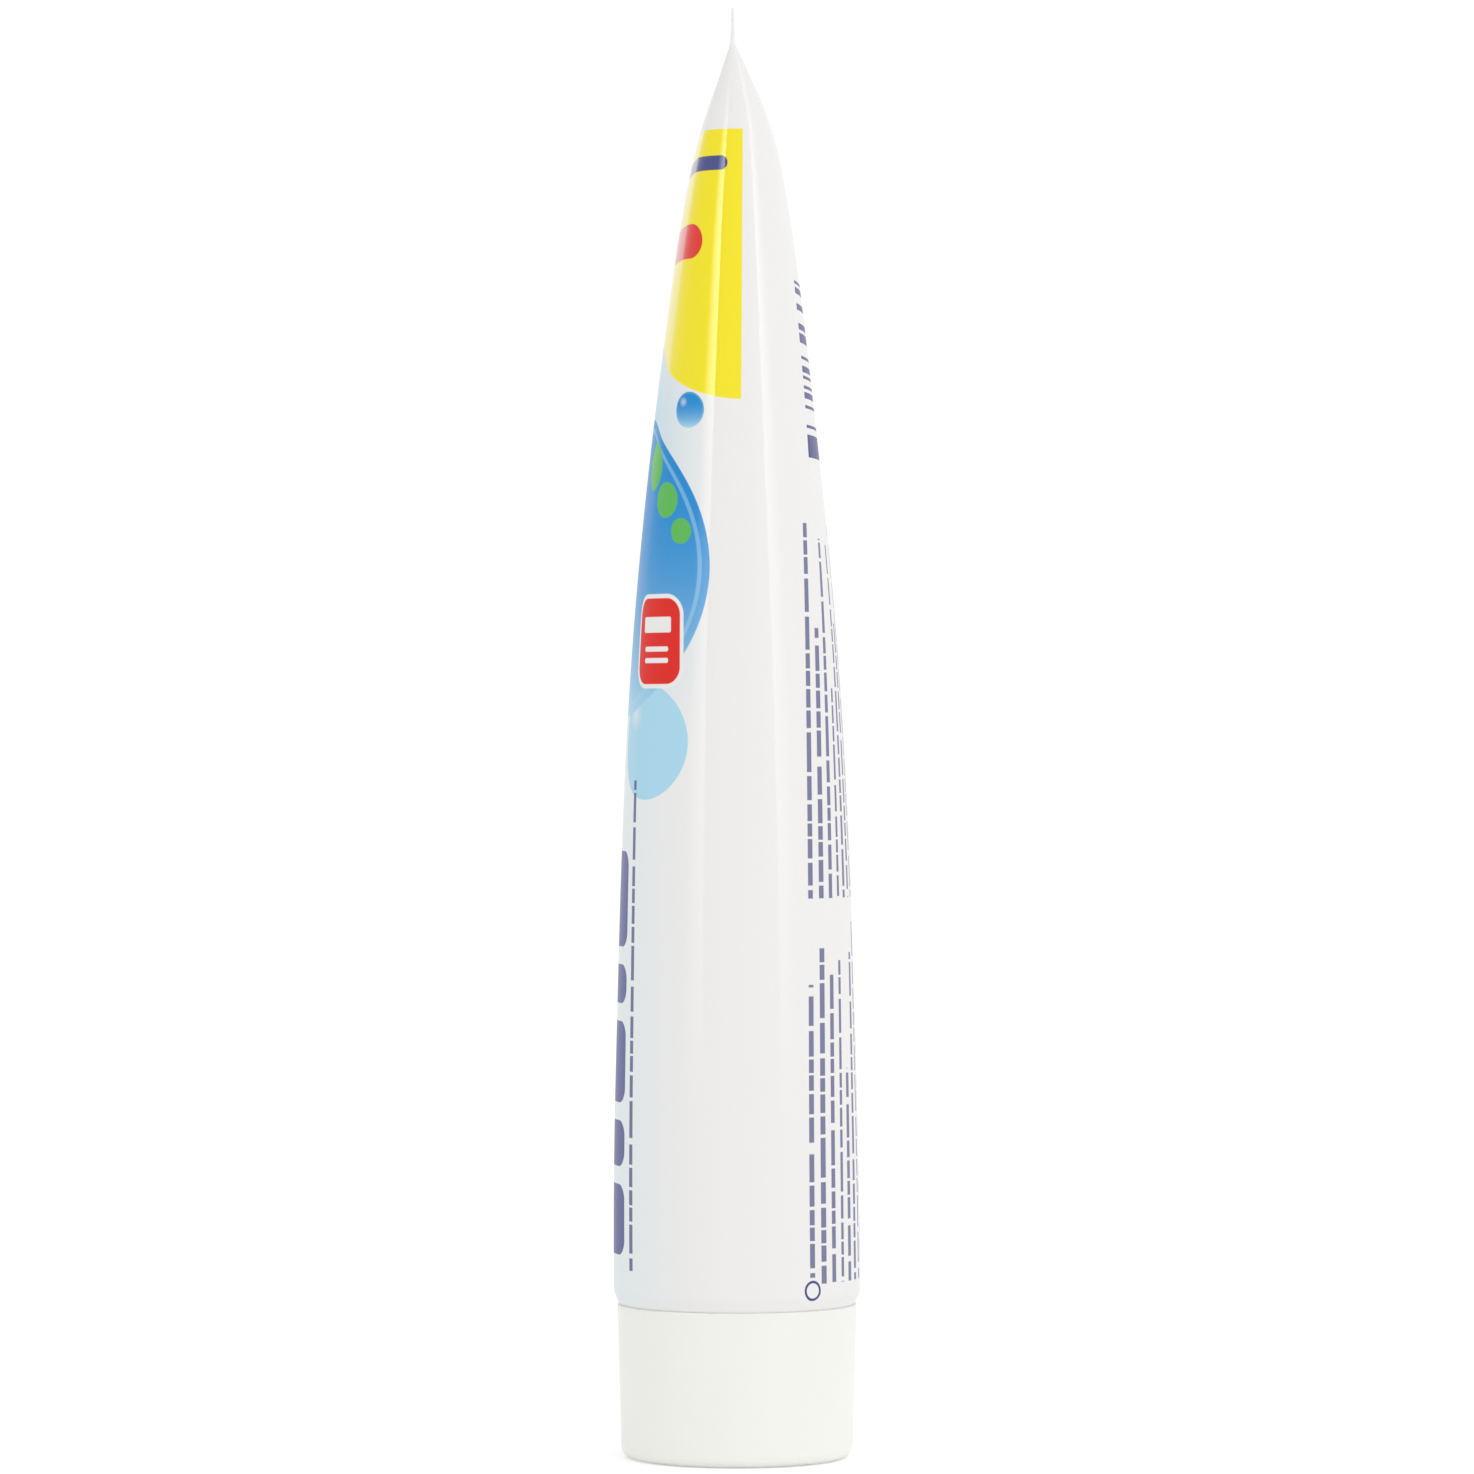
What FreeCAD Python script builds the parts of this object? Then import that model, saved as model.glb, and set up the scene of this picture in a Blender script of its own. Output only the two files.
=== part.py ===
"""Laminate toothpaste tube with a stand-up screw cap, standing on the cap.

The origin is at the middle of the cap's closed end and +Z points up the tube.
The crimp line runs along X, the printed front faces -Y and the back faces +Y.
"""
import FreeCAD, Part
import math
import os

# Driving dimensions, in millimetres.
TUBE_DIAMETER = 35.0        # outside of the round end of the sleeve
SLEEVE_WALL = 0.35
SLEEVE_LENGTH = 181.3       # from the curled lip to the end of the crimp
CRIMP_HEIGHT = 4.8
CRIMP_THICKNESS = 0.7
CURL_RADIUS = 2.8           # outside radius of the sleeve's turned-in end
STRAIGHT_LENGTH = 0.9       # round stretch above the curl, before the sleeve starts to flatten
FLAT_SHARE = 0.3            # turn of the broad arcs of a section, in radians, at full thickness
LIP_FLAT = 0.9              # flat width of the turned-in lip
WELD_DEPTH = 1.6            # depth below the crimp where the two walls are welded into one

CAP_HEIGHT = 21.7
CAP_STEP = 0.5              # step from the sleeve's face in to the cap's rim
CAP_DRAFT = 0.6             # loss of radius from the rim to the closed end
CAP_WALL = 1.2
CAP_FLOOR = 1.6
CAP_EDGE_RADIUS = 1.5
CAP_RIM_ROUND = 0.2
SOCKET_WALL = 1.2
SOCKET_GAP = 1.2            # from the neck's root down to the end of the inner socket
RIB_COUNT = 4
RIB_THICKNESS = 0.8
RIB_HEIGHT = 9.0
SEAT_WIDTH = 2.2            # width of the ring that closes the nozzle

NECK_DIAMETER = 12.0        # at the root of the thread
NECK_LENGTH = 12.9
NECK_WALL = 1.4
TIP_THICKNESS = 1.0
TIP_CHAMFER = 0.4
ORIFICE_DIAMETER = 6.5
CONE_DEPTH = 3.0            # drop of the shoulder from its flat rim to the neck
CONE_WALL = 1.3
SHOULDER_RIM_WALL = 1.0
SHOULDER_RIM_HEIGHT = 4.0   # upstand that the sleeve is welded around

THREAD_SPACE = 1.1          # from the neck to the plain bore of the socket, room for both threads
RIM_CLEARANCE = 0.3         # from the curled sleeve to the cap's rim
NESTING = 0.4               # how far the curled lip sits down inside the cap's rim
WELD_CLEARANCE = 0.05       # between the sleeve and the shoulder's upstand
PASTE_CLEARANCE = 0.2
PASTE_FILL = 0.81           # share of the sleeve's length that the paste reaches
PASTE_SETBACK = 0.3         # from the nozzle's end back to the paste

# The sleeve's side outline between its round end and its crimp: share of the way up,
# half thickness as a share of the radius, and where its middle stands along Y.
OUTLINE = [
    (0.00, 1.000, 0.00),
    (0.10, 0.990, -0.12),
    (0.20, 0.968, -0.15),
    (0.30, 0.941, -0.17),
    (0.40, 0.902, -0.24),
    (0.55, 0.808, -0.31),
    (0.68, 0.680, -0.33),
    (0.80, 0.539, -0.20),
    (0.90, 0.388, -0.10),
    (0.96, 0.222, -0.15),
    (1.00, CRIMP_THICKNESS / TUBE_DIAMETER, -0.60),
]

# Places worked out from the driving dimensions.
TUBE_RADIUS = TUBE_DIAMETER / 2
CAP_RADIUS = TUBE_RADIUS - CAP_STEP
NECK_RADIUS = NECK_DIAMETER / 2
SOCKET_BORE = NECK_RADIUS + THREAD_SPACE
LIP_Z = CAP_HEIGHT - NESTING
CRIMP_TOP_Z = LIP_Z + SLEEVE_LENGTH
CRIMP_FOOT_Z = CRIMP_TOP_Z - CRIMP_HEIGHT
ROUND_TOP_Z = LIP_Z + CURL_RADIUS + STRAIGHT_LENGTH
FLANGE_Z = LIP_Z + SLEEVE_WALL
CONE_RADIUS = TUBE_RADIUS - CURL_RADIUS - LIP_FLAT
SHOULDER_RIM_RADIUS = TUBE_RADIUS - SLEEVE_WALL - WELD_CLEARANCE
SHOULDER_TOP_Z = FLANGE_Z + SHOULDER_RIM_HEIGHT
NECK_ROOT_Z = FLANGE_Z - CONE_DEPTH
TIP_Z = NECK_ROOT_Z - NECK_LENGTH
SOCKET_TOP_Z = NECK_ROOT_Z - SOCKET_GAP
UP = FreeCAD.Vector(0, 0, 1)
ORIGIN = FreeCAD.Vector(0, 0, 0)


def quarter_arcs(half_thickness):
    """Radii of the end arc and the broad arc of a section, and the turn of the end arc.

    Every section keeps the perimeter of the round end, as a sheet that bends
    but doesn't stretch.
    """
    broad_turn = FLAT_SHARE * half_thickness / TUBE_RADIUS
    end_turn = math.pi / 2 - broad_turn
    quarter = math.pi / 2 * TUBE_RADIUS
    lift = math.sin(end_turn)
    spread = end_turn * (1 - lift) - broad_turn * lift
    end_radius = (quarter * (1 - lift) - broad_turn * half_thickness) / spread
    broad_radius = (end_turn * half_thickness - quarter * lift) / spread
    return end_radius, broad_radius, end_turn


def section(height, half_thickness, lean, inset):
    """Closed section of four tangent arcs, moved in by the inset all round."""
    end_radius, broad_radius, turn = quarter_arcs(half_thickness)
    centre_x = (broad_radius - end_radius) * math.cos(turn)
    end_radius -= inset
    half_thickness -= inset
    half_width = centre_x + end_radius
    joint_x = centre_x + end_radius * math.cos(turn)
    joint_y = end_radius * math.sin(turn)

    def at(x, y):
        return FreeCAD.Vector(x, y + lean, height)

    corners = [at(joint_x, -joint_y), at(joint_x, joint_y), at(-joint_x, joint_y), at(-joint_x, -joint_y)]
    middles = [at(half_width, 0), at(0, half_thickness), at(-half_width, 0), at(0, -half_thickness)]
    edges = []
    for index in range(4):
        arc = Part.Arc(corners[index], middles[index], corners[(index + 1) % 4])
        edges.append(arc.toShape())
    return Part.Wire(edges)


def flattened_stretch(inset, top_z):
    """Solid between the round end and the crimp; the last section is moved down to top_z."""
    wires = []
    rise = CRIMP_FOOT_Z - ROUND_TOP_Z
    for share, thickness_share, lean in OUTLINE[:-1]:
        wires.append(section(ROUND_TOP_Z + share * rise, thickness_share * TUBE_RADIUS, lean, inset))
    low, high = OUTLINE[-2], OUTLINE[-1]
    along = ((top_z - ROUND_TOP_Z) / rise - low[0]) / (high[0] - low[0])
    thickness_share = low[1] + along * (high[1] - low[1])
    lean = low[2] + along * (high[2] - low[2])
    wires.append(section(top_z, thickness_share * TUBE_RADIUS, lean, inset))
    return Part.makeLoft(wires, True)


def rounded_disc(radius, base_z, top_z, edge_radius):
    """Upright cylinder with a rounded lower edge."""
    disc = Part.makeCylinder(radius, top_z - base_z, FreeCAD.Vector(0, 0, base_z), UP)
    lower = [edge for edge in disc.Edges if edge.BoundBox.ZMax < base_z + 0.001]
    return disc.makeFillet(edge_radius, lower)


def sleeve_foot(inset):
    """The round end of the tube's form below the flattened stretch, moved in by the inset."""
    return rounded_disc(TUBE_RADIUS - inset, LIP_Z + inset, ROUND_TOP_Z, CURL_RADIUS - inset)


def tube_form(inset, top_z):
    """The whole closed form of the tube below its crimp, moved in by the inset."""
    return sleeve_foot(inset).fuse(flattened_stretch(inset, top_z)).removeSplitter()


def turned(points):
    """Solid turned about the tube's axis from corners given as radius and height."""
    corners = [FreeCAD.Vector(radius, 0, height) for radius, height in points]
    outline = Part.makePolygon(corners + corners[:1])
    return Part.Face(outline).revolve(ORIGIN, UP, 360)


def tube_sleeve():
    """Laminate sleeve: turned-in lip, round end, flattened stretch and welded crimp."""
    outside = tube_form(0, CRIMP_FOOT_Z)
    foot_share, foot_half, foot_lean = OUTLINE[-1]
    crimp_wire = section(CRIMP_FOOT_Z, foot_half * TUBE_RADIUS, foot_lean, 0)
    crimp = Part.Face(crimp_wire).extrude(FreeCAD.Vector(0, 0, CRIMP_HEIGHT))
    inside = tube_form(SLEEVE_WALL, CRIMP_FOOT_Z - WELD_DEPTH)
    mouth = Part.makeCylinder(CONE_RADIUS, 2 * CURL_RADIUS, FreeCAD.Vector(0, 0, LIP_Z - CURL_RADIUS), UP)
    return outside.fuse(crimp).cut(inside).cut(mouth).removeSplitter()


def shoulder_inside(gap, lowest_z, top_z):
    """Space inside the shoulder, neck and orifice, moved in by the gap."""
    slope = math.atan2(CONE_DEPTH, CONE_RADIUS - NECK_RADIUS)
    wall_rise = CONE_WALL / math.cos(slope)
    bore_radius = NECK_RADIUS - NECK_WALL - gap
    neck_top = NECK_ROOT_Z + wall_rise - NECK_WALL * math.tan(slope) + gap
    cone_top = FLANGE_Z + wall_rise + gap
    rim_inside = SHOULDER_RIM_RADIUS - SHOULDER_RIM_WALL - gap
    return turned([
        (0, lowest_z),
        (ORIFICE_DIAMETER / 2 - gap, lowest_z),
        (ORIFICE_DIAMETER / 2 - gap, TIP_Z + TIP_THICKNESS),
        (bore_radius, TIP_Z + TIP_THICKNESS),
        (bore_radius, neck_top),
        (CONE_RADIUS, cone_top),
        (TUBE_RADIUS - CURL_RADIUS, cone_top),
        (rim_inside, FLANGE_Z + CURL_RADIUS - SLEEVE_WALL + gap),
        (rim_inside, top_z),
        (0, top_z),
    ])


def shoulder_nozzle():
    """Moulded shoulder with its upstand, cone, neck and perforated tip."""
    rim = rounded_disc(SHOULDER_RIM_RADIUS, FLANGE_Z, SHOULDER_TOP_Z, CURL_RADIUS - SLEEVE_WALL)
    below = turned([
        (0, TIP_Z),
        (NECK_RADIUS - TIP_CHAMFER, TIP_Z),
        (NECK_RADIUS, TIP_Z + TIP_CHAMFER),
        (NECK_RADIUS, NECK_ROOT_Z),
        (CONE_RADIUS, FLANGE_Z),
        (CONE_RADIUS, FLANGE_Z + CONE_WALL),
        (0, FLANGE_Z + CONE_WALL),
    ])
    hollow = shoulder_inside(0, TIP_Z - TIP_THICKNESS, SHOULDER_TOP_Z + CONE_WALL)
    return rim.fuse(below).cut(hollow).removeSplitter()


def toothpaste():
    """Paste that fills the sleeve, the shoulder and the nozzle, with air left under the crimp."""
    form = tube_form(SLEEVE_WALL + PASTE_CLEARANCE, CRIMP_FOOT_Z - WELD_DEPTH)
    base_z = SHOULDER_TOP_Z + PASTE_CLEARANCE
    fill_z = LIP_Z + PASTE_FILL * SLEEVE_LENGTH
    reach = 2 * TUBE_DIAMETER
    filled = Part.makeBox(2 * reach, 2 * reach, fill_z - base_z, FreeCAD.Vector(-reach, -reach, base_z))
    column = shoulder_inside(PASTE_CLEARANCE, TIP_Z + PASTE_SETBACK, base_z)
    return form.common(filled).fuse(column).removeSplitter()


def cap_skirt():
    """Closed, tapered outer shell of the cap, hollowed at its rim to clear the curled sleeve."""
    shell = turned([
        (0, 0),
        (CAP_RADIUS - CAP_DRAFT, 0),
        (CAP_RADIUS, CAP_HEIGHT),
        (0, CAP_HEIGHT),
    ])
    lower = [edge for edge in shell.Edges if edge.BoundBox.ZMax < 0.001]
    shell = shell.makeFillet(CAP_EDGE_RADIUS, lower)
    upper = [edge for edge in shell.Edges if edge.BoundBox.ZMin > CAP_HEIGHT - 0.001]
    shell = shell.makeFillet(CAP_RIM_ROUND, upper)
    hollow = turned([
        (0, CAP_FLOOR),
        (CAP_RADIUS - CAP_WALL - CAP_DRAFT, CAP_FLOOR),
        (CAP_RADIUS - CAP_WALL, CAP_HEIGHT),
        (0, CAP_HEIGHT),
    ])
    return shell.cut(hollow).cut(sleeve_foot(-RIM_CLEARANCE))


def cap_rib(index):
    """One radial rib between the socket and the skirt."""
    start = SOCKET_BORE + SOCKET_WALL / 2
    end = CAP_RADIUS - CAP_WALL
    corner = FreeCAD.Vector(start, -RIB_THICKNESS / 2, CAP_FLOOR / 2)
    rib = Part.makeBox(end - start, RIB_THICKNESS, RIB_HEIGHT + CAP_FLOOR / 2, corner)
    rib.rotate(ORIGIN, UP, (index + 0.5) * 360 / RIB_COUNT)
    return rib


def screw_cap():
    """Cap with its skirt, inner socket, ribs and the ring that closes the nozzle."""
    socket_outer = SOCKET_BORE + SOCKET_WALL
    socket = turned([
        (SOCKET_BORE, CAP_FLOOR / 2),
        (socket_outer, CAP_FLOOR / 2),
        (socket_outer, SOCKET_TOP_Z),
        (SOCKET_BORE, SOCKET_TOP_Z),
    ])
    seat_outer = NECK_RADIUS - TIP_CHAMFER
    seat = turned([
        (seat_outer - SEAT_WIDTH, CAP_FLOOR / 2),
        (seat_outer, CAP_FLOOR / 2),
        (seat_outer, TIP_Z),
        (seat_outer - SEAT_WIDTH, TIP_Z),
    ])
    ribs = [cap_rib(index) for index in range(RIB_COUNT)]
    return cap_skirt().multiFuse([socket, seat] + ribs).removeSplitter()


NODES = {
    "tube_sleeve": tube_sleeve,
    "shoulder_nozzle": shoulder_nozzle,
    "toothpaste": toothpaste,
    "screw_cap": screw_cap,
}


def main():
    os.makedirs("parts", exist_ok=True)
    for name, make in NODES.items():
        shape = make()
        solids = len(shape.Solids)
        print(name, "solids", solids, "valid", shape.isValid(), "volume ml", round(shape.Volume / 1000, 2))
        shape.Solids[0].exportStep(os.path.join("parts", name + ".step"))


main()
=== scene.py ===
"""Looks of a laminate toothpaste tube that stands on its screw cap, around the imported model."""
import math

import bpy
import numpy as np
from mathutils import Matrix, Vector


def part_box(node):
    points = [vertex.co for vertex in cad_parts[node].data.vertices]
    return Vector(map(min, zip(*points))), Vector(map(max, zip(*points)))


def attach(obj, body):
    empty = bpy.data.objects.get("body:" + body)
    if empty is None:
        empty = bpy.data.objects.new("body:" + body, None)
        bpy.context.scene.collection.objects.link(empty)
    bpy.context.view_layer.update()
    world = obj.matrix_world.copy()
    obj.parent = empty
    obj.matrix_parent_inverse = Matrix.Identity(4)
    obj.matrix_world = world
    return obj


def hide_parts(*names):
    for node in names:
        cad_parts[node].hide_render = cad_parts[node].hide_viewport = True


bl_info = {
    "name": "Toothpaste Tube Looks",
    "version": (1, 0, 0),
    "blender": (4, 5, 0),
    "location": "View3D > Sidebar > Tube",
    "description": "Printed laminate sleeve, moulded shoulder, paste, screw cap and a white studio",
    "category": "Object",
}

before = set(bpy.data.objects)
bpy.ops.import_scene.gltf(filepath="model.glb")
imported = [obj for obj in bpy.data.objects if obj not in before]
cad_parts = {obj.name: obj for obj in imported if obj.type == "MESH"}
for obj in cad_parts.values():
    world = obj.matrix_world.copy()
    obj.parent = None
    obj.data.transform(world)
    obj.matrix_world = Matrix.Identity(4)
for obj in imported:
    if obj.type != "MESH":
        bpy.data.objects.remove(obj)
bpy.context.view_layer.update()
MM = 0.001

SLEEVE_LOW, SLEEVE_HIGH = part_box("tube_sleeve")
SHOULDER_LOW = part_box("shoulder_nozzle")[0]
TUBE_RADIUS = (SLEEVE_HIGH.y - SLEEVE_LOW.y) / 2
HALF_GIRTH = math.pi * TUBE_RADIUS / MM

# The sleeve's side outline between its round end and its crimp: share of the way up,
# half thickness as a share of the radius, and where its middle stands along Y, in mm.
OUTLINE = np.array([
    (0.00, 1.000, 0.00),
    (0.10, 0.990, -0.12),
    (0.20, 0.968, -0.15),
    (0.30, 0.941, -0.17),
    (0.40, 0.902, -0.24),
    (0.55, 0.808, -0.31),
    (0.68, 0.680, -0.33),
    (0.80, 0.539, -0.20),
    (0.90, 0.388, -0.10),
    (0.96, 0.222, -0.15),
    (1.00, 0.020, -0.60),
])

# Printed pattern in mm: across the girth from the front's middle, and up from the floor.
BUBBLES = (
    (12.5, 101.5, 8.2, "sky"), (-19.5, 111.0, 5.2, "sky"), (3.0, 126.0, 21.0, "blue"),
    (-18.0, 133.5, 4.2, "deep"), (20.6, 147.6, 2.5, "blue"), (-23.5, 146.0, 2.2, "blue"),
)
DROPS = ((11.5, 140.0, 3.4), (16.3, 135.2, 2.5), (19.4, 130.8, 1.8))
BADGE_ACROSS, BADGE_UP = 14.6, 115.5
BADGE_BARS = ((117.8, 3.2, 1.1), (114.4, 2.7, 0.35), (112.8, 2.7, 0.35))
SLATE_SPANS = ((29, 39), (41.5, 48), (50.5, 62), (64.5, 70), (72.5, 86))
LINE_PITCH = 2.15
LINE_BLOCKS = ((25.5, 76.0, 3.0), (79.5, 132.0, 11.0))
STRIPE_PITCH = 0.46

# Half the width of the side seam's step, and of the finer columns at the sleeve's sides.
SEAM_STEP = 0.1 * MM
SIDE_SPAN = 0.6 * MM


class SleeveShape(bpy.types.PropertyGroup):
    """Sizes of the laminate sleeve."""
    wall: bpy.props.FloatProperty(
        name="Wall", description="Thickness of the laminate", default=0.35 * MM, unit="LENGTH")
    curl: bpy.props.FloatProperty(
        name="Curl", description="Outside radius of the turned-in end", default=2.8 * MM, unit="LENGTH")
    straight: bpy.props.FloatProperty(
        name="Straight", description="Round stretch above the curl", default=0.9 * MM, unit="LENGTH")
    seat: bpy.props.FloatProperty(
        name="Seat", description="How far the turned-in end swells to sit on the cap's rim",
        default=0.28 * MM, unit="LENGTH")
    lip: bpy.props.FloatProperty(
        name="Lip", description="Flat width of the turned-in lip", default=0.9 * MM, unit="LENGTH")
    crimp_height: bpy.props.FloatProperty(
        name="Crimp height", description="Height of the welded crimp", default=4.8 * MM, unit="LENGTH")
    crimp_thickness: bpy.props.FloatProperty(
        name="Crimp thickness", description="Both walls together", default=0.7 * MM, unit="LENGTH")
    crimp_taper: bpy.props.FloatProperty(
        name="Crimp taper", description="Share of the thickness that is lost at the crimp's end",
        default=0.28)
    crimp_foot_round: bpy.props.FloatProperty(
        name="Crimp foot", description="How softly the walls run into the crimp", default=0.18 * MM,
        unit="LENGTH")
    groove_depth: bpy.props.FloatProperty(
        name="Groove depth", description="Depth of the pressed lines in the crimp", default=0.05 * MM,
        unit="LENGTH")
    weld_depth: bpy.props.FloatProperty(
        name="Weld depth", description="Welded depth below the crimp", default=1.6 * MM, unit="LENGTH")
    seam_width: bpy.props.FloatProperty(
        name="Seam width", description="Overlap of the side seam", default=1.6 * MM, unit="LENGTH")
    seam_height: bpy.props.FloatProperty(
        name="Seam height", description="Rise of the overlapped edge", default=0.08 * MM, unit="LENGTH")
    flat_share: bpy.props.FloatProperty(
        name="Broad turn", description="Turn of a section's broad arcs at full thickness", default=0.3)
    columns: bpy.props.IntProperty(
        name="Columns", description="Mesh columns around the sleeve", default=300, min=60)


class PrintColours(bpy.types.PropertyGroup):
    """Inks of the plain printed pattern."""
    ground: bpy.props.FloatVectorProperty(
        name="Ground", description="White of the laminate", default=(0.862, 0.854, 0.839),
        subtype="COLOR")
    mist: bpy.props.FloatVectorProperty(
        name="Mist", description="Pale tint low on the front", default=(0.765, 0.865, 0.905),
        subtype="COLOR")
    yellow: bpy.props.FloatVectorProperty(
        name="Yellow", description="Field below the crimp", default=(0.93, 0.79, 0.005),
        subtype="COLOR")
    sky: bpy.props.FloatVectorProperty(
        name="Sky", description="Palest bubbles and haze", default=(0.42, 0.70, 0.86), subtype="COLOR")
    blue: bpy.props.FloatVectorProperty(
        name="Blue", description="Large bubble", default=(0.014, 0.27, 0.66), subtype="COLOR")
    deep: bpy.props.FloatVectorProperty(
        name="Deep", description="Darkest bubble", default=(0.012, 0.14, 0.50), subtype="COLOR")
    red: bpy.props.FloatVectorProperty(
        name="Red", description="Badge and rounded bar", default=(0.76, 0.025, 0.018), subtype="COLOR")
    green: bpy.props.FloatVectorProperty(
        name="Green", description="Small drops", default=(0.12, 0.50, 0.10), subtype="COLOR")
    slate: bpy.props.FloatVectorProperty(
        name="Slate", description="Broad plain bars", default=(0.13, 0.14, 0.32), subtype="COLOR")
    indigo: bpy.props.FloatVectorProperty(
        name="Indigo", description="Fine lines on the back", default=(0.060, 0.068, 0.235),
        subtype="COLOR")


class MouldedParts(bpy.types.PropertyGroup):
    """Sizes and colours of the moulded pieces and the paste."""
    cap_colour: bpy.props.FloatVectorProperty(
        name="Cap", description="Off-white of the cap", default=(0.907, 0.915, 0.866), subtype="COLOR")
    shoulder_colour: bpy.props.FloatVectorProperty(
        name="Shoulder", description="White of the shoulder", default=(0.84, 0.84, 0.82),
        subtype="COLOR")
    paste_colour: bpy.props.FloatVectorProperty(
        name="Paste", description="White of the paste", default=(0.82, 0.87, 0.89), subtype="COLOR")
    neck_radius: bpy.props.FloatProperty(
        name="Neck radius", description="Neck at the root of its thread", default=6.0 * MM,
        unit="LENGTH")
    socket_radius: bpy.props.FloatProperty(
        name="Socket radius", description="Bore of the cap's socket", default=7.1 * MM, unit="LENGTH")
    thread_pitch: bpy.props.FloatProperty(
        name="Thread pitch", description="Rise of the thread in one turn", default=2.6 * MM,
        unit="LENGTH")
    thread_turns: bpy.props.FloatProperty(
        name="Thread turns", description="Turns of the thread", default=2.6)
    neck_ridge: bpy.props.FloatProperty(
        name="Neck ridge", description="Height of the neck's thread", default=0.58 * MM, unit="LENGTH")
    socket_ridge: bpy.props.FloatProperty(
        name="Socket ridge", description="Height of the socket's thread", default=0.38 * MM,
        unit="LENGTH")


class Studio(bpy.types.PropertyGroup):
    """Camera, floor and lights."""
    camera_distance: bpy.props.FloatProperty(
        name="Camera distance", description="From the tube's axis", default=0.911, unit="LENGTH")
    camera_height: bpy.props.FloatProperty(
        name="Camera height", description="Above the floor", default=0.1021, unit="LENGTH")
    lens: bpy.props.FloatProperty(
        name="Lens", description="Focal length on a 36 mm sensor", default=156.6,
        subtype="DISTANCE_CAMERA")
    room_light: bpy.props.FloatProperty(
        name="Room light", description="Strength of the even light of the white room", default=0.975)
    floor_glow: bpy.props.FloatProperty(
        name="Floor glow", description="Light that the white table gives by itself", default=0.15)
    left_strip: bpy.props.FloatProperty(
        name="Left strip", description="Brightness of the upright lamp on the left", default=10.5)
    right_strip: bpy.props.FloatProperty(
        name="Right strip", description="Brightness of the upright lamp on the right", default=8.0)
    left_bearing: bpy.props.FloatProperty(
        name="Left bearing", description="Degrees from the camera's side to the left strip",
        default=-41.8)
    right_bearing: bpy.props.FloatProperty(
        name="Right bearing", description="Degrees from the camera's side to the right strip",
        default=52.8)
    side_light: bpy.props.FloatProperty(
        name="Side light", description="Brightness of the large soft lamp on the right", default=0.42)
    room_dip: bpy.props.FloatProperty(
        name="Room dip", description="How much dimmer the room is behind on the left", default=0.35)
    floor_seen: bpy.props.FloatProperty(
        name="Floor as seen", description="Glow added to the table for the camera alone", default=0.17)
    room_seen: bpy.props.FloatProperty(
        name="Room as seen", description="Strength of the room for the camera and reflections",
        default=1.02)


def smooth_curve(knots, values, at):
    """Natural cubic spline through the values.

    The second derivatives m solve h0*m0 + 2*(h0 + h1)*m1 + h1*m2 = 6*(slope after - slope before).
    """
    step = np.diff(knots)
    slope = np.diff(values) / step
    inner = len(knots) - 2
    matrix = np.zeros((inner, inner))
    matrix[np.arange(inner), np.arange(inner)] = 2 * (step[:-1] + step[1:])
    matrix[np.arange(inner - 1), np.arange(1, inner)] = step[1:-1]
    matrix[np.arange(1, inner), np.arange(inner - 1)] = step[1:-1]
    bend = np.zeros(len(knots))
    bend[1:-1] = np.linalg.solve(matrix, 6 * np.diff(slope))
    index = np.clip(np.searchsorted(knots, at) - 1, 0, len(step) - 1)
    before = knots[index + 1] - at
    after = at - knots[index]
    wide = step[index]
    cubic = (bend[index] * before**3 + bend[index + 1] * after**3) / (6 * wide)
    left = (values[index] / wide - bend[index] * wide / 6) * before
    right = (values[index + 1] / wide - bend[index + 1] * wide / 6) * after
    return cubic + left + right


def ramp(low, high, at):
    """Smooth step from 0 at low to 1 at high: 3*t^2 - 2*t^3."""
    t = np.clip((at - low) / (high - low), 0, 1)
    return t * t * (3 - 2 * t)


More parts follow.
